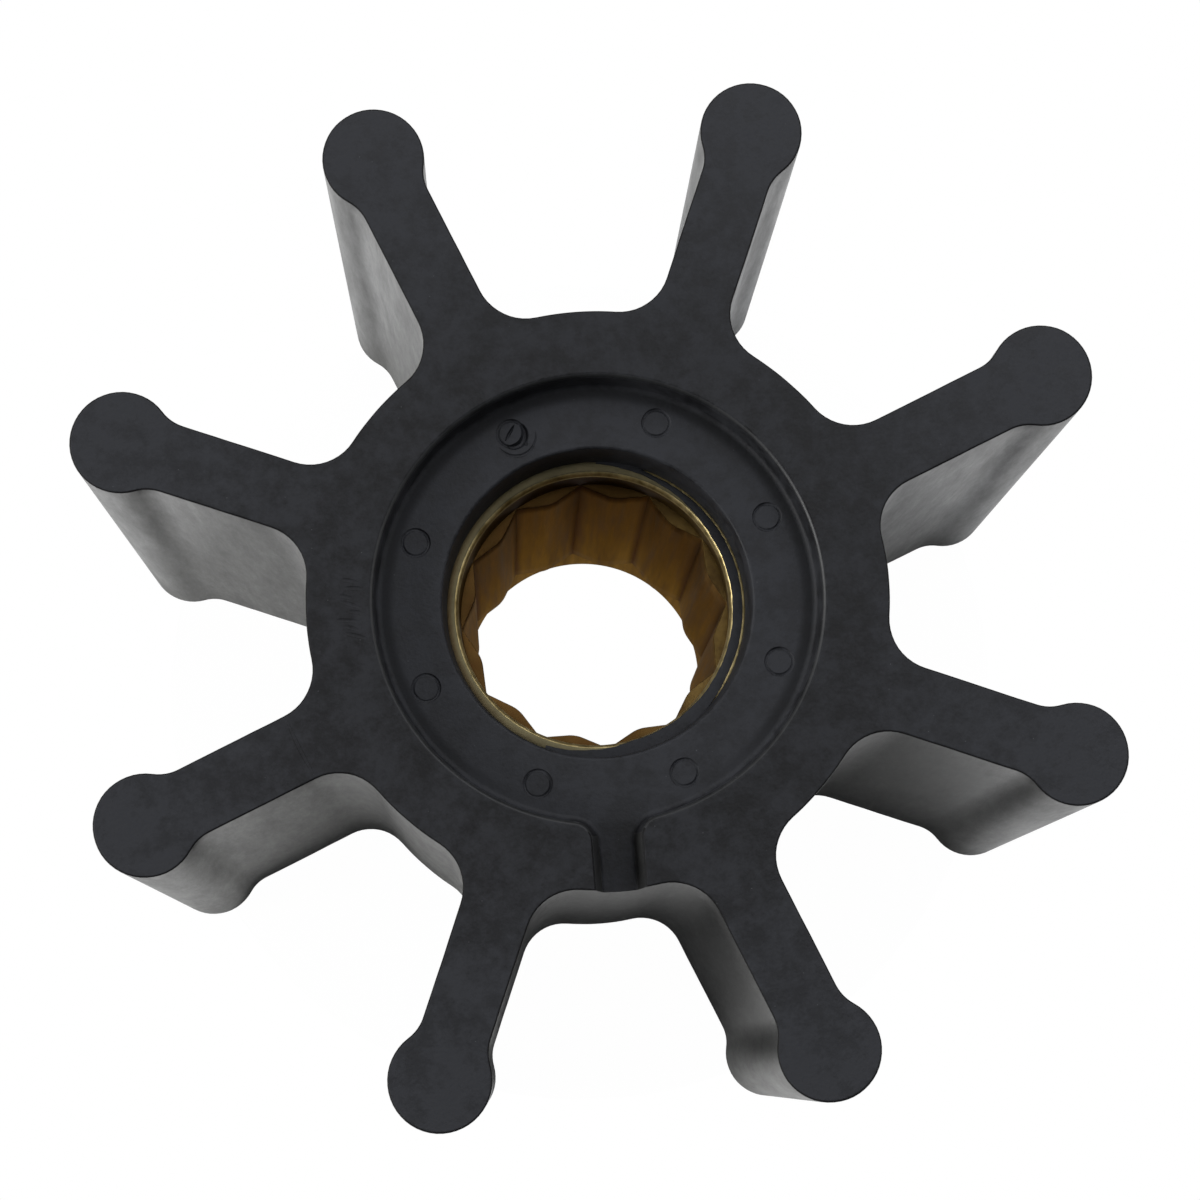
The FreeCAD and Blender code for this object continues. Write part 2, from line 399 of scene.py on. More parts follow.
SCUFF_COUNT = 8
SCUFF_PLACE = -14.5 + 2.1j
SCUFF_STEP = 0.47
SCUFF_DRIFT = 0.3
SCUFF_LEAN = -14.0
SCUFF_LEAN_SPREAD = 8.0
SCUFF_LENGTH = 1.8
SCUFF_LENGTH_SPREAD = 0.5
SCUFF_HALF_WIDTH = 0.18
SCUFF_HALF_HEIGHT = 0.1
SCUFF_DEPTH = 0.03


def scuffs():
    """Short shallow scuffs, one below the other, on the front of the hub.

    Each is cut by the lowest part of a bead that lies mostly above the face, so its edges are soft. Place,
    lean and length vary with sines of its number.
    """
    numbers = np.arange(SCUFF_COUNT)
    places = SCUFF_PLACE + SCUFF_DRIFT * np.sin(2.1 * numbers) - 1j * SCUFF_STEP * numbers
    turned = np.exp(1j * np.radians(SCUFF_LEAN + SCUFF_LEAN_SPREAD * np.sin(1.7 * numbers)))
    lengths = SCUFF_LENGTH + SCUFF_LENGTH_SPREAD * np.sin(2.9 * numbers)
    along = np.linspace(-0.5, 0.5, 14)
    level = LENGTH + SCUFF_HALF_HEIGHT - SCUFF_DEPTH
    size = SCUFF_HALF_WIDTH, SCUFF_HALF_HEIGHT, level, 20
    return [bead("scuff", p + t * n * along, *size) for p, t, n in zip(places, turned, lengths)]


WITNESS_RADIUS = 19.55
WITNESS_ANGLES = (197.4, 207.6)
WITNESS_HALF_WIDTH = 0.12
WITNESS_HEIGHT = 0.02


def witness_ridge():
    """Low ridge across the root of one vane, along the joint of two mould parts."""
    turn = np.radians(np.linspace(*WITNESS_ANGLES, 24))
    arc = WITNESS_RADIUS * np.exp(1j * turn)
    return bead("witness_ridge", arc, WITNESS_HALF_WIDTH, WITNESS_HEIGHT, LENGTH)


FLASH_ANGLES = (245.6, 445.6)
FLASH_THICKNESS = 0.06
FLASH_CLEARANCE = 0.01
FLASH_INNER_RADIUS = 8.22
FLASH_START_RUN = 35.0
FLASH_START_OPENING = 0.54
FLASH_END_RUN = 60.0
FLASH_END_OPENING = 0.6
FLASH_FREE_ANGLES = (311.0, 430.0)
FLASH_FREE_RAMPS = (16.0, 8.0)
FLASH_FREE_LIFT = 0.05
FLASH_OUTER_GAP = 0.18
FLASH_BITE = 0.05
# Each sine of the ripple: size and waves in a turn
FLASH_RIPPLE = ((0.012, 23.0), (0.008, 61.0))


def flash_skin():
    """Thin skin of rubber that ran over the end of the bush on one side.

    Its inner edge is a circle that widens towards both ends by a power of the share of the run there, with
    a ripple of some hundredths. Its outer edge bites into the mouth wall, but between two angles it has
    shrunk away and shows the rim of the bush. The section is a low cushion of seven points.
    """
    angle = np.linspace(*FLASH_ANGLES, 150)
    start, end = FLASH_ANGLES
    at_start = np.clip((start + FLASH_START_RUN - angle) / FLASH_START_RUN, 0.0, 1.0)
    at_end = np.clip((angle - end + FLASH_END_RUN) / FLASH_END_RUN, 0.0, 1.0)
    opening = FLASH_START_OPENING * at_start ** 0.85 + FLASH_END_OPENING * at_end ** 1.15
    ripple = sum(size * np.sin(np.radians(waves * angle)) for size, waves in FLASH_RIPPLE)
    inner = FLASH_INNER_RADIUS + opening + ripple
    into = (angle - FLASH_FREE_ANGLES[0]) / FLASH_FREE_RAMPS[0]
    out_of = (FLASH_FREE_ANGLES[1] - angle) / FLASH_FREE_RAMPS[1]
    free = np.clip(into, 0.0, 1.0) * np.clip(out_of, 0.0, 1.0)
    outer = BUSH_RADIUS + FLASH_BITE - (FLASH_OUTER_GAP + 0.5 * ripple) * free
    low = LENGTH - BUSH_SET_BACK + FLASH_CLEARANCE
    lift = FLASH_FREE_LIFT * free + FLASH_CLEARANCE
    level = np.zeros_like(lift)
    round_off = FLASH_THICKNESS / 2.0
    section = [
        (outer, low + level),
        (outer, low + FLASH_THICKNESS * 0.7 + level),
        (outer - round_off, low + FLASH_THICKNESS + 0.4 * lift),
        ((inner + outer) / 2.0, low + FLASH_THICKNESS + lift),
        (inner + round_off, low + FLASH_THICKNESS + 0.5 * lift),
        (inner, low + FLASH_THICKNESS * 0.6 + level),
        (inner, low + level),
    ]
    radius = np.stack([r for r, _ in section[::-1]], axis=-1)
    height = np.stack([h for _, h in section[::-1]], axis=-1)
    plan = radius * np.exp(1j * np.radians(angle))[:, None]
    return mesh_from_rings("flash_skin", np.stack([plan.real, plan.imag, height], axis=-1))


moulding = star_prism()
carve(moulding, bore_cutter())
carve(moulding, front_recess_cutter())
pins = [pin_mark_cutter(FIRST_VANE_ANGLE + VANE_PITCH * vane) for vane in range(VANE_COUNT)]
carve(moulding, merged("pin_marks", pins))
for cutter in scuffs() + gate_marks():
    carve(moulding, cutter)
carve(moulding, witness_ridge(), "UNION")
carve(moulding, flash_skin(), "UNION")

FLAT_SHARE = 0.7
ROUNDED_SHARES = (0.2, 0.95)
RUBBER_SHARP_ANGLE = 35.0


def finish_shading(piece, sharp_angle):
    """Smooth shading with hard edges above an angle, and normals that follow the larger faces."""
    piece.data.shade_smooth()
    piece.data.set_sharp_from_angle(angle=math.radians(sharp_angle))
    weighted = piece.modifiers.new("normals", "WEIGHTED_NORMAL")
    weighted.keep_sharp = True


def face_facts(piece):
    """Centre in millimetres and normal of every face of a piece."""
    centres, normals = np.empty((2, len(piece.data.polygons) * 3), np.float32)
    piece.data.polygons.foreach_get("center", centres)
    piece.data.polygons.foreach_get("normal", normals)
    return centres.reshape(-1, 3) / MM, normals.reshape(-1, 3)


def rubber_finish(piece):
    """Finish of each face of the moulding, by its place and by how far its normal leans to the bore.

    0 is a flank, 1 an end face, recess or mouth, 2 the rounded edge of a recess, and 3 the rounded edge of
    the outline.
    """
    centres, normals = face_facts(piece)
    lean = np.abs(normals[:, 2])
    from_face = LENGTH / 2.0 - np.abs(centres[:, 2] - LENGTH / 2.0)
    reach = np.hypot(centres[:, 0], centres[:, 1])
    inside = reach < RECESS_RADIUS + 2.0 * RECESS_EDGE_ROUND
    rounded = (from_face < RECESS_EDGE_ROUND) & (lean > ROUNDED_SHARES[0]) & (lean < ROUNDED_SHARES[1])
    finish = np.where(inside | (lean > FLAT_SHARE), 1, 0)
    return np.where(rounded, np.where(inside, 2, 3), finish).astype(np.int32)


def linear(hex_colour):
    """Linear RGBA from an sRGB hex colour."""
    parts = [int(hex_colour[i:i + 2], 16) / 255.0 for i in (1, 3, 5)]
    return [c / 12.92 if c <= 0.04045 else ((c + 0.055) / 1.055) ** 2.4 for c in parts] + [1.0]


def add(tree, kind, inputs=(), **settings):
    """One shader node with its settings; inputs are (socket, value or link) pairs."""
    made = tree.nodes.new("ShaderNode" + kind)
    for name, value in settings.items():
        setattr(made, name, value)
    for socket, value in dict(inputs).items():
        if isinstance(value, bpy.types.NodeSocket):
            tree.links.new(value, made.inputs[socket])
        else:
            made.inputs[socket].default_value = value
    return made


def new_material(name):
    """Empty node material with its output node."""
    material = bpy.data.materials.new(name)
    material.use_nodes = True
    tree = material.node_tree
    tree.nodes.clear()
    return material, tree, tree.nodes.new("ShaderNodeOutputMaterial")


# Sockets of the node that mixes two colours
FACTOR, FIRST, SECOND = 0, 6, 7

# Stops are distances from the bore's axis in millimetres and values there
# Painted light and wear: paler in the recess, for the light the low lamps don't bring there, and towards the
# bulbs, partly handling wear and partly painted light for the light they catch from all round
WEAR_AND_PAINTED_LIGHT_BY_RADIUS = ((12.9, 0.4), (13.3, 0.0), (15.0, 0.0), (31.0, 0.6))
# Painted shade: a dark, duller ring in the corner of the recess floor, faded out towards -Y
PAINTED_SHADE_BY_RADIUS = ((12.0, 0.0), (12.4, 0.5), (12.7, 0.5), (13.0, 0.0))
PAINTED_SHADE_FADE_Y = (-12.0, -8.0)
PAINTED_SHADE_DULLING = 0.3
# Colour of the painted shade in the corner of the recess
RUBBER_PAINTED_SHADE = "#050505"
RUBBER_DUST = "#4A4B4D"
RUBBER_IOR = 1.52
RAMP_REACH = 35.0


def ramp_by_radius(tree, reach, stops):
    """Value that changes with the distance from the bore's axis, by (millimetres, value) stops."""
    share = add(tree, "Math", {0: reach, 1: RAMP_REACH * MM}, operation="DIVIDE").outputs[0]
    ramp = add(tree, "ValToRGB", {"Fac": share})
    for place, value in stops[1:-1]:
        ramp.color_ramp.elements.new(place / RAMP_REACH)
    for element, (place, value) in zip(ramp.color_ramp.elements, stops):
        element.position = place / RAMP_REACH
        element.color = (value, value, value, 1.0)
    return ramp.outputs["Color"]


def moulded_rubber(name, dark, light, roughness, mottle, reflectance, grain_bump, stretch=1.0):
    """Carbon-black nitrile rubber, compression moulded: matt, faintly mottled by bloom and handling.

    Cloudy patches some two millimetres wide change its grey and, by the mottle, its roughness. Where
    stretch is small they are drawn out along the bore, as by the mould. It is painted paler in the recess,
    as painted light where the low lamps bring little, and towards the bulbs, partly handling wear and partly
    painted light for the light they catch from all round. A ring in the corner of the recess is painted
    darker and duller, except on its -Y side, as painted shade. A fine grain breaks the gloss, and a little
    pale dust sits on it.
    """
    patch_mm, grain_mm, dust_mm = 1.9, 0.22, 0.9
    material, tree, output = new_material(name)
    place = add(tree, "TexCoord").outputs["Object"]
    plan = add(tree, "VectorMath", {0: place, 1: (1.0, 1.0, 0.0)}, operation="MULTIPLY").outputs[0]
    reach = add(tree, "VectorMath", {0: plan}, operation="LENGTH").outputs["Value"]
    drawn = add(tree, "Mapping", {"Vector": place, "Scale": (1.0, 1.0, stretch)}).outputs[0]
    patches = add(tree, "TexNoise", {"Vector": drawn, "Scale": 1000.0 / patch_mm, "Detail": 7.0,
                                     "Roughness": 0.8})
    grain = add(tree, "TexNoise", {"Vector": place, "Scale": 1000.0 / grain_mm, "Detail": 2.0})
    spots = add(tree, "TexVoronoi", {"Vector": place, "Scale": 1000.0 / dust_mm})
    # Painted light: paler in the recess and towards the bulbs, where it is partly wear
    pale = ramp_by_radius(tree, reach, WEAR_AND_PAINTED_LIGHT_BY_RADIUS)
    blend = add(tree, "MapRange", {"Value": patches.outputs["Fac"], "From Min": 0.4, "From Max": 0.6,
                                   "To Min": 0.0, "To Max": 0.7})
    share = add(tree, "Math", {0: blend.outputs[0], 1: pale}, operation="ADD", use_clamp=True)
    tone = add(tree, "Mix", {FACTOR: share.outputs[0], FIRST: linear(dark), SECOND: linear(light)},
               data_type="RGBA")
    speck = add(tree, "MapRange", {"Value": spots.outputs["Distance"], "From Min": 0.03, "From Max": 0.018})
    dusty = add(tree, "Mix", {FACTOR: speck.outputs[0], FIRST: tone.outputs[2], SECOND: linear(RUBBER_DUST)},
                data_type="RGBA")
    # Painted shade in the corner of the recess, except on its -Y side, darkens and dulls the rubber
    ring = ramp_by_radius(tree, reach, PAINTED_SHADE_BY_RADIUS)
    behind = add(tree, "SeparateXYZ", {0: place}).outputs["Y"]
    clear = add(tree, "MapRange", {"Value": behind, "From Min": PAINTED_SHADE_FADE_Y[0] * MM,
                                   "From Max": PAINTED_SHADE_FADE_Y[1] * MM})
    painted_shade = add(tree, "Math", {0: ring, 1: clear.outputs[0]}, operation="MULTIPLY").outputs[0]
    shaded_tone = add(tree, "Mix", {FACTOR: painted_shade, FIRST: dusty.outputs[2], SECOND: linear(RUBBER_PAINTED_SHADE)},
                data_type="RGBA")
    gloss = add(tree, "MapRange", {"Value": patches.outputs["Fac"], "From Min": 0.35, "From Max": 0.65,
                                   "To Min": roughness - mottle, "To Max": roughness + mottle})
    dull = add(tree, "Math", {0: painted_shade, 1: PAINTED_SHADE_DULLING, 2: gloss.outputs[0]}, operation="MULTIPLY_ADD",
               use_clamp=True)
    bump = add(tree, "Bump", {"Height": grain.outputs["Fac"], "Distance": grain_bump * MM, "Strength": 1.0})
    shader = add(tree, "BsdfPrincipled", {
        "Base Color": shaded_tone.outputs[2], "Roughness": dull.outputs[0], "Normal": bump.outputs[0],
        "IOR": RUBBER_IOR, "Specular IOR Level": reflectance,
    })
    tree.links.new(shader.outputs[0], output.inputs["Surface"])
    return material


# Flat plates of the mould leave the ends blue-black and quite matt
end_face_rubber = moulded_rubber("end_face_rubber", "#040405", "#222326", 0.61, 0.1, 0.16, 0.02)
# Its smooth walls leave the flanks with long soft reflections that run down to the other end
flank_rubber = moulded_rubber("flank_rubber", "#191919", "#242423", 0.36, 0.07, 0.5, 0.002, 0.15)
# Handling has rubbed the edge of the recess, which catches the light as a thin line
recess_edge_rubber = moulded_rubber("recess_edge_rubber", "#101112", "#1E1F20", 0.5, 0.05, 0.3, 0.01)
# The rounded edge of the outline is darker and duller than face and flank, and parts them as a dark line
outer_edge_rubber = moulded_rubber("outer_edge_rubber", "#040404", "#101011", 0.66, 0.05, 0.1, 0.01)
moulding.data.materials.clear()
for finish in (flank_rubber, end_face_rubber, recess_edge_rubber, outer_edge_rubber):
    moulding.data.materials.append(finish)
moulding.data.polygons.foreach_set("material_index", rubber_finish(moulding))
finish_shading(moulding, RUBBER_SHARP_ANGLE)
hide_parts("rubber_impeller")
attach(moulding, "root")


# Splined bush: a brass tube that the shaft drives, bonded in the bore.
# It was turned, broached with twelve rounded lobes and counterbored at each mouth, and has gone brown.

LOBE_COUNT = 12
LOBE_COLUMNS = 48
VALLEY_RADIUS = 8.12
CREST_RADIUS = 7.4
LOBE_CREST_RADIUS = 2.0
FIRST_VALLEY_ANGLE = 1.5
COUNTERBORE_RADIUS = 8.15
COUNTERBORE_DEPTH = 3.6
BACK_COUNTERBORE_DEPTH = 6.2
LIP_CHAMFER_WIDTH = 0.3
LIP_CHAMFER_DEPTH = 0.6
LOBE_EDGE_BREAK = 0.06
BUSH_RIM_BREAK = 0.03
CLEAN_RIM_RADIUS = BUSH_RADIUS - FLASH_OUTER_GAP
LIP_OFF_CENTRE = 0.12
BUSH_SHARP_ANGLE = 28.0


def spline_radius(degrees_from_crest):
    """Radius of the spline's wall at an angle from a lobe's crest, up to half a pitch.

    Near the crest it is the near side of the crest circle, and then the straight flank that touches that
    circle and runs to the valley point. Both are met by a ray from the bore's axis.
    """
    half_pitch = math.pi / LOBE_COUNT
    centre = CREST_RADIUS + LOBE_CREST_RADIUS
    valley = VALLEY_RADIUS * np.exp(1j * half_pitch)
    reach = valley - centre
    touch_turn = np.angle(reach) + math.acos(LOBE_CREST_RADIUS / abs(reach))
    touch = centre + LOBE_CREST_RADIUS * np.exp(1j * touch_turn)
    angle = np.radians(degrees_from_crest)
    half_chord = np.sqrt(np.maximum(LOBE_CREST_RADIUS ** 2 - (centre * np.sin(angle)) ** 2, 0.0))
    near = centre * np.cos(angle) - half_chord
    flank = valley - touch
    ray = np.exp(1j * angle)
    lean = ray.real * flank.imag - ray.imag * flank.real
    on_flank = (touch.real * flank.imag - touch.imag * flank.real) / lean
    return np.where(angle < np.angle(touch), near, on_flank)


def bush_end(spline, counterbore_depth, lip_shift):
    """Rings of one end of the bush, from its outside to where the spline is whole: radii and depths.

    They follow the broken rim, the flat end, the rounded lip, the counterbore, and the lobes' broken edges,
    with depths below the end. The lip is a quarter ellipse whose radius is changed all round by the shift.
    """
    flat = np.ones_like(spline)
    sweep = np.linspace(0.0, math.pi / 2.0, 7)
    lip_in = COUNTERBORE_RADIUS + LIP_CHAMFER_WIDTH * (1.0 - np.sin(sweep))
    lip_down = LIP_CHAMFER_DEPTH * (1.0 - np.cos(sweep))
    rings = [
        (BUSH_RADIUS * flat, BUSH_RIM_BREAK),
        ((BUSH_RADIUS - 0.3 * BUSH_RIM_BREAK) * flat, 0.3 * BUSH_RIM_BREAK),
        ((BUSH_RADIUS - BUSH_RIM_BREAK) * flat, 0.0),
        (CLEAN_RIM_RADIUS * flat, 0.0),
    ]
    rings += [(radius + lip_shift, depth) for radius, depth in zip(lip_in, lip_down)]
    rings += [(COUNTERBORE_RADIUS * flat, counterbore_depth)]
    for width, depth in ((1.0, 0.0), (0.3, 0.3), (0.0, 1.0)):
        edge = np.minimum(spline + width * LOBE_EDGE_BREAK, COUNTERBORE_RADIUS)
        rings.append((edge, counterbore_depth + depth * LOBE_EDGE_BREAK))
    return np.array([radius for radius, _ in rings]), np.array([depth for _, depth in rings])


def bush_rings():
    """Rings of the bush as one closed skin: over the front lip, down the bore, and up the outside."""
    pitch = 360.0 / LOBE_COUNT
    angle = np.linspace(0.0, 360.0, LOBE_COUNT * LOBE_COLUMNS, endpoint=False)
    spline = spline_radius(np.abs((angle % pitch) - pitch / 2.0))
    lip_shift = -LIP_OFF_CENTRE * np.cos(np.radians(angle))
    front_radius, front_depth = bush_end(spline, COUNTERBORE_DEPTH, lip_shift)
    back_radius, back_depth = bush_end(spline, BACK_COUNTERBORE_DEPTH, 0.0 * lip_shift)
    front = LENGTH - BUSH_SET_BACK - front_depth
    rear = BUSH_SET_BACK + back_depth[::-1]
    between = np.linspace(front[-1], rear[0], 14)[1:-1]
    radius = np.concatenate([front_radius, np.tile(spline, (len(between), 1)), back_radius[::-1]])
    height = np.concatenate([front, between, rear])[:, None]
    plan = radius * np.exp(1j * np.radians(angle + FIRST_VALLEY_ANGLE))
    return np.stack([plan.real, plan.imag, np.broadcast_to(height, plan.shape)], axis=-1)


# Painted shade on the bush fades out on the front lobe ends between these places on X; the last is its share
# on the edge of the flat end
LOBE_SHADE_FADE_FROM = 2.0
LOBE_SHADE_FADE_TO = 6.0
END_EDGE_PAINTED_SHADE = 0.7


def painted_shade_share(piece):
    """How much painted shade each vertex of the bush holds, from 0 to 1.

    It is 1 in a valley of the spline, as painted shade in its crease, and 0 a tenth of a pitch away. On the
    front ends of the lobes, down in the counterbore, it fades out across the bore between two places on X,
    so the lobe ends away from +X are painted shaded. On the outer edge of the flat end, in the corner
    against the mouth wall, it grows with the square of the distance towards -X.
    """
    places = np.empty(len(piece.data.vertices) * 3, np.float32)
    piece.data.vertices.foreach_get("co", places)
    x, y, z = places.reshape(-1, 3).T / MM
    turn = (np.degrees(np.arctan2(y, x)) - FIRST_VALLEY_ANGLE) * LOBE_COUNT / 360.0
    in_valley = np.clip(1.0 - 10.0 * np.abs(turn - np.round(turn)), 0.0, 1.0)
    end = LENGTH - BUSH_SET_BACK
    lobe_end = end - COUNTERBORE_DEPTH
    edge = (z > end - BUSH_RIM_BREAK) & (np.hypot(x, y) > CLEAN_RIM_RADIUS - BUSH_RIM_BREAK)
    lobes = np.abs(z - lobe_end) < 2.0 * LOBE_EDGE_BREAK
    broached = (z < lobe_end) & (z > BUSH_SET_BACK + BACK_COUNTERBORE_DEPTH)
    on_edge = END_EDGE_PAINTED_SHADE * np.clip(-x / BUSH_RADIUS, 0.0, 1.0) ** 2
    on_lobes = np.interp(x, [LOBE_SHADE_FADE_FROM, LOBE_SHADE_FADE_TO], [1.0, 0.0])
    return np.select([edge, lobes, broached], [on_edge, on_lobes, in_valley], 0.0)


def finish_of_faces(piece):
    """Which finish each face has, by its depth below the nearer end of the bush.

    0 is the broached bore, 1 the turned ends, 2 the stained front counterbore and lobe ends, and 3 the worn
    lips and the clean rim that shows where the flash has shrunk away.
    """
    centres, normals = face_facts(piece)
    from_end = LENGTH / 2.0 - BUSH_SET_BACK - np.abs(centres[:, 2] - LENGTH / 2.0)
    front = centres[:, 2] > LENGTH / 2.0
    finish = np.where(front & (from_end < COUNTERBORE_DEPTH + LOBE_EDGE_BREAK), 2, 0)
    finish = np.where(from_end < LIP_CHAMFER_DEPTH, 3, finish)
    finish = np.where(from_end < BUSH_RIM_BREAK, 1, finish)
    angle = np.degrees(np.arctan2(centres[:, 1], centres[:, 0])) % 360.0
    angle = np.where(angle < 180.0, angle + 360.0, angle)
    shrunk = front & (angle > FLASH_FREE_ANGLES[0]) & (angle < FLASH_FREE_ANGLES[1])
    rim = (from_end < BUSH_RIM_BREAK) & (np.hypot(centres[:, 0], centres[:, 1]) > CLEAN_RIM_RADIUS)
    return np.where(shrunk & rim, 3, finish).astype(np.int32)


# Colour and strength of the painted shade on the bush
BRASS_PAINTED_SHADE = "#35210D"
PAINTED_SHADE_COVER = 0.75
STREAK_GLOSS = 0.06
STREAK_DEPTH = 0.008


def tarnished_brass(name, dark, light, glint, roughness, metallic, stretch):
    """Free-machining brass, turned and broached, browned by handling and by the heat of moulding.

    Stains some millimetres wide change its colour and tool marks its gloss. Both are drawn out along the
    bore where stretch is small. A dark brown painted shade lies where the painted shade attribute says.
    The film of tarnish makes it less than fully metallic.
    """
    stain_mm, streak_mm = 3.0, 0.45
    material, tree, output = new_material(name)
    place = add(tree, "TexCoord").outputs["Object"]
    along = add(tree, "Mapping", {"Vector": place, "Scale": (1.0, 1.0, stretch)})
    stains = add(tree, "TexNoise", {"Vector": along.outputs[0], "Scale": 1000.0 / stain_mm, "Detail": 4.0,
                                    "Roughness": 0.6})
    streaks = add(tree, "TexNoise", {"Vector": along.outputs[0], "Scale": 1000.0 / streak_mm, "Detail": 3.0})
    both = add(tree, "Math", {0: stains.outputs["Fac"], 1: streaks.outputs["Fac"]}, operation="ADD")
    blend = add(tree, "MapRange", {"Value": both.outputs[0], "From Min": 0.7, "From Max": 1.3})
    tone = add(tree, "Mix", {FACTOR: blend.outputs[0], FIRST: linear(dark), SECOND: linear(light)},
               data_type="RGBA")
    # Painted shade: how much, read from the vertex attribute
    painted_shade = add(tree, "Attribute", attribute_name="painted_shade").outputs["Fac"]
    deep = add(tree, "Math", {0: painted_shade, 1: PAINTED_SHADE_COVER}, operation="MULTIPLY")
    shaded_tone = add(tree, "Mix", {FACTOR: deep.outputs[0], FIRST: tone.outputs[2], SECOND: linear(BRASS_PAINTED_SHADE)},
                data_type="RGBA")
    gloss = add(tree, "MapRange", {"Value": streaks.outputs["Fac"], "From Min": 0.3, "From Max": 0.7,
                                   "To Min": roughness - STREAK_GLOSS, "To Max": roughness + STREAK_GLOSS})
    bump = add(tree, "Bump", {"Height": streaks.outputs["Fac"], "Distance": STREAK_DEPTH * MM,
                              "Strength": 1.0})
    shader = add(tree, "BsdfPrincipled", {
        "Base Color": shaded_tone.outputs[2], "Roughness": gloss.outputs[0], "Normal": bump.outputs[0],
        "Metallic": metallic, "Specular Tint": linear(glint), "Specular IOR Level": 0.15,
    })
    tree.links.new(shader.outputs[0], output.inputs["Surface"])
    return material


bush = mesh_from_rings("brass_bush", bush_rings(), ring_of_rings=True)
# Painted shade as a vertex attribute: in the spline's valleys, on the front lobe ends away from +X, and on
# the rim's edge towards -X
bush.data.attributes.new("painted_shade", "FLOAT", "POINT").data.foreach_set("value", painted_shade_share(bush))
# Broached wall: brown, with fine lines along the bore. Turned ends: dull olive grey. Front counterbore and
# lobe ends: a dark stain. Lips and clean rim: worn pale, and the only bright lines of the bush.
finishes = [
    tarnished_brass("broached_brass", "#6A5430", "#C8A46C", "#B89A68", 0.5, 0.92, 0.05),
    tarnished_brass("turned_brass", "#454030", "#5A543F", "#C8B884", 0.46, 0.45, 1.0),
    tarnished_brass("stained_brass", "#483820", "#6E5A32", "#8A7440", 0.5, 0.75, 1.0),
    tarnished_brass("worn_brass", "#7C6C44", "#CDBB88", "#E4DAB4", 0.38, 0.85, 1.0),
]
for finish in finishes:
    bush.data.materials.append(finish)
bush.data.polygons.foreach_set("material_index", finish_of_faces(bush))
finish_shading(bush, BUSH_SHARP_ANGLE)
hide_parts("splined_bush")
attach(bush, "root")


# Studio: a plain white board under the back face, soft boxes of light and a pale sky, and the camera.
# The largest box stands above the far right, a strong one low on the left, a weak one low on the right, and
# a weak one overhead. The camera looks down the bore, a few degrees off its axis.

FLOOR_SIDE = 3.0
FLOOR_DROP = 0.05
BOARD_WHITE = "#E9E9E7"
GLOW_SEEN = 0.99
GLOW_UNDER_BORE = 0.42
BORE_GLOW_REACH = 1.2 * BUSH_RADIUS
GLOW_AROUND_VANES = 0.5
VANE_GLOW_REACH = 1.25 * BULB_CENTRE
SKY_BRIGHT_SIDE = (0.0, 0.8, -0.6)
SKY_FADE = (-0.6, 0.3)
SKY_BRIGHT = 0.95
SKY_DARK = 0.1


def white_board():
    """Matt white board that shows almost evenly white, as on a light table, so that no hard shadow shows.

    Its glow also lights the part from under the bore, where no lamp reaches, and from all round the vanes.
    """
    material, tree, output = new_material("white_board")
    board = add(tree, "BsdfPrincipled", {"Base Color": linear(BOARD_WHITE), "Roughness": 0.9})
    glow = add(tree, "Emission", {"Color": (1.0, 1.0, 1.0, 1.0), "Strength": 1.0})
    place = add(tree, "TexCoord").outputs["Object"]
    reach = add(tree, "VectorMath", {0: place}, operation="LENGTH").outputs["Value"]
    under = add(tree, "MapRange", {"Value": reach, "From Min": BORE_GLOW_REACH * MM,
                                   "From Max": BUSH_RADIUS * MM, "To Max": GLOW_UNDER_BORE})
    around = add(tree, "MapRange", {"Value": reach, "From Min": BULB_CENTRE * MM,
                                    "From Max": VANE_GLOW_REACH * MM, "To Max": GLOW_AROUND_VANES})
    patch = add(tree, "Math", {0: under.outputs[0], 1: around.outputs[0]}, operation="ADD")
    seen = add(tree, "LightPath").outputs["Is Camera Ray"]
    share = add(tree, "Math", {0: seen, 1: GLOW_SEEN, 2: patch.outputs[0]}, operation="MULTIPLY_ADD",
                use_clamp=True)
    mixed = add(tree, "MixShader", {0: share.outputs[0], 1: board.outputs[0], 2: glow.outputs[0]})
    tree.links.new(mixed.outputs[0], output.inputs["Surface"])
    return material


def floor_board():
    """Flat square just under the part, a hair below it so that the two faces don't share a plane."""
    half, down = FLOOR_SIDE / 2.0, -FLOOR_DROP * MM
    corners = [(-half, -half, down), (half, -half, down), (half, half, down), (-half, half, down)]
    mesh = bpy.data.meshes.new("floor")
    mesh.from_pydata(corners, [], [(0, 1, 2, 3)])
    board = bpy.data.objects.new("floor", mesh)
    board.data.materials.append(white_board())
    bpy.context.scene.collection.objects.link(board)
    return board


floor_board()


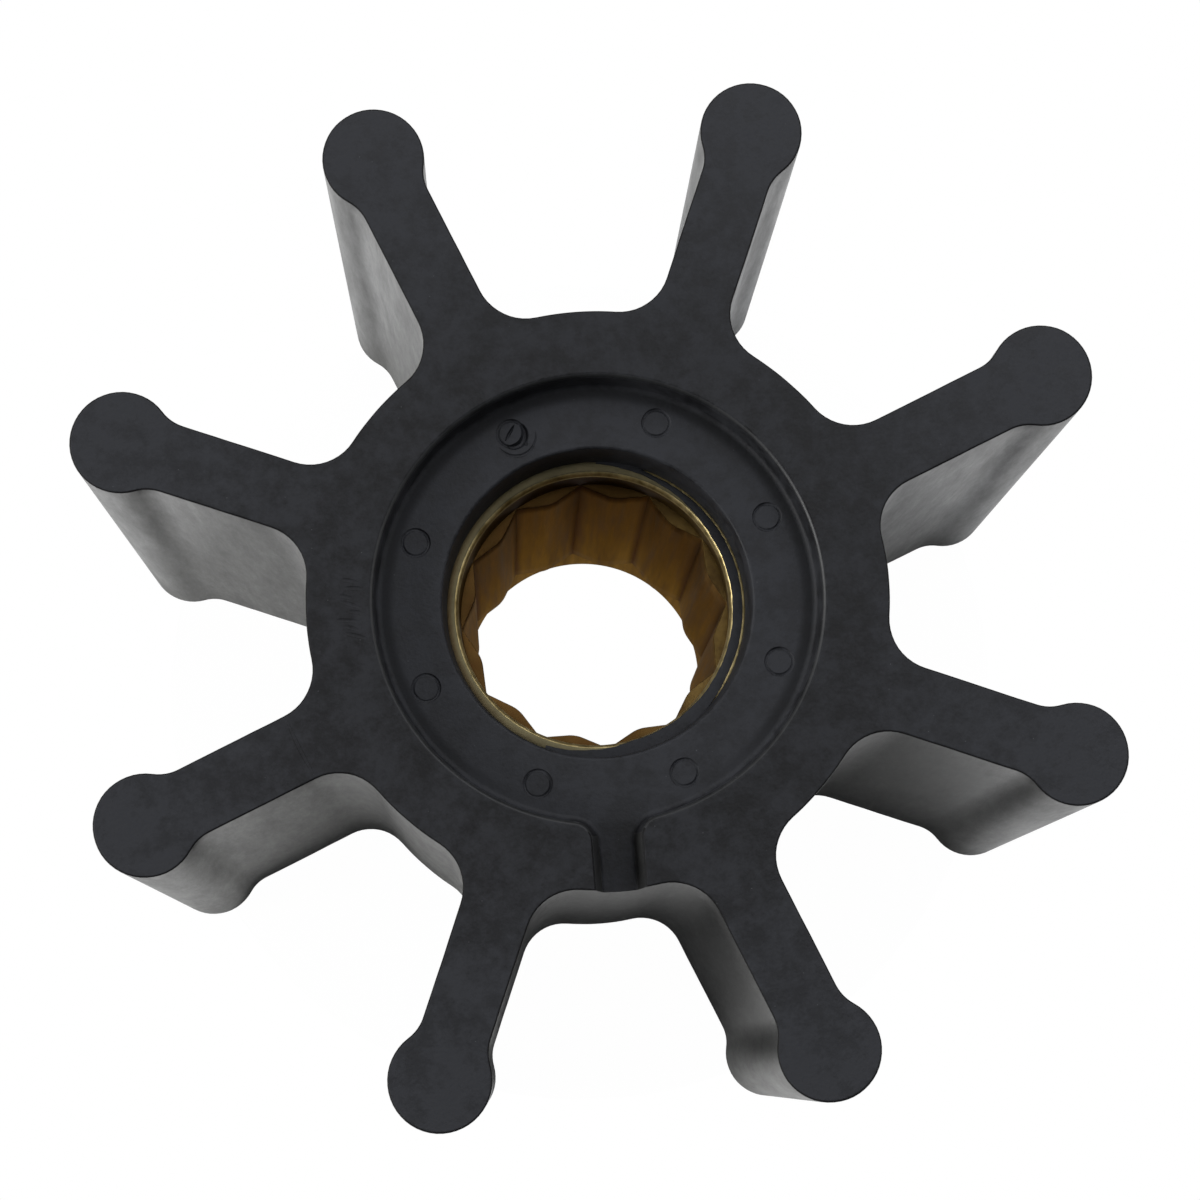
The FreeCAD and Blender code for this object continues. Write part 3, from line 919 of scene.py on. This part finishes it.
def studio_sky():
    """White light from the far side and both flanks of the table, fading towards the near side.

    Its strength is a function of the cosine between a direction and the bright side.
    """
    world = bpy.data.worlds.new("studio")
    world.use_nodes = True
    tree = world.node_tree
    heading = add(tree, "TexCoord").outputs["Generated"]
    facing = add(tree, "VectorMath", {0: heading, 1: SKY_BRIGHT_SIDE}, operation="DOT_PRODUCT")
    power = add(tree, "MapRange", {"Value": facing.outputs["Value"], "From Min": SKY_FADE[0],
                                   "From Max": SKY_FADE[1], "To Min": SKY_DARK, "To Max": SKY_BRIGHT})
    tree.links.new(power.outputs[0], tree.nodes["Background"].inputs["Strength"])
    tree.nodes["Background"].inputs["Color"].default_value = (1.0, 1.0, 1.0, 1.0)
    return world


bpy.context.scene.world = studio_sky()

DAYLIGHT = "#F7F9FF"


def softbox(name, direction, distance, side, power, colour="#FFFFFF"):
    """Square area light at a distance from the part along a direction, turned to face it."""
    data = bpy.data.lights.new(name, "AREA")
    data.color = linear(colour)[:3]
    data.size = side
    data.energy = power
    lamp = bpy.data.objects.new(name, data)
    towards = Vector(direction).normalized()
    lamp.location = towards * distance + Vector((0.0, 0.0, LENGTH * MM))
    lamp.rotation_euler = towards.to_track_quat("Z", "Y").to_euler()
    bpy.context.scene.collection.objects.link(lamp)
    return lamp


softbox("top_box", (0.45, 0.8, 1.6), 0.4, 0.34, 1.35, DAYLIGHT)
softbox("left_box", (-1.0, -0.1, 0.34), 0.8, 0.4, 8.0)
softbox("right_box", (1.0, -0.1, 0.2), 0.8, 0.4, 1.5)
softbox("overhead_box", (0.0, -0.1, 1.0), 0.8, 0.3, 0.45, DAYLIGHT)

VIEW_TILT = 7.475
VIEW_AZIMUTH = -105.53
VIEW_DISTANCE = 212.387
VIEW_TARGET = (0.092, -0.147, LENGTH)
IMAGE_UP_LEAN = 4.485
LENS = 108.68
SENSOR_WIDTH = 36.0

tilt, azimuth, lean = (math.radians(a) for a in (VIEW_TILT, VIEW_AZIMUTH, IMAGE_UP_LEAN))
back = Vector((math.sin(tilt) * math.cos(azimuth), math.sin(tilt) * math.sin(azimuth), math.cos(tilt)))
hint = Vector((math.sin(lean), math.cos(lean), 0.0))
up = (hint - back * hint.dot(back)).normalized()
right = up.cross(back)
pose = Matrix((right, up, back)).transposed().to_4x4()
pose.translation = (Vector(VIEW_TARGET) + back * VIEW_DISTANCE) * MM
camera_data = bpy.data.cameras.new("camera")
camera_data.lens = LENS
camera_data.sensor_width = SENSOR_WIDTH
camera = bpy.data.objects.new("camera", camera_data)
camera.matrix_world = pose
bpy.context.scene.collection.objects.link(camera)
bpy.context.scene.camera = camera
bpy.context.scene.view_settings.view_transform = "Standard"
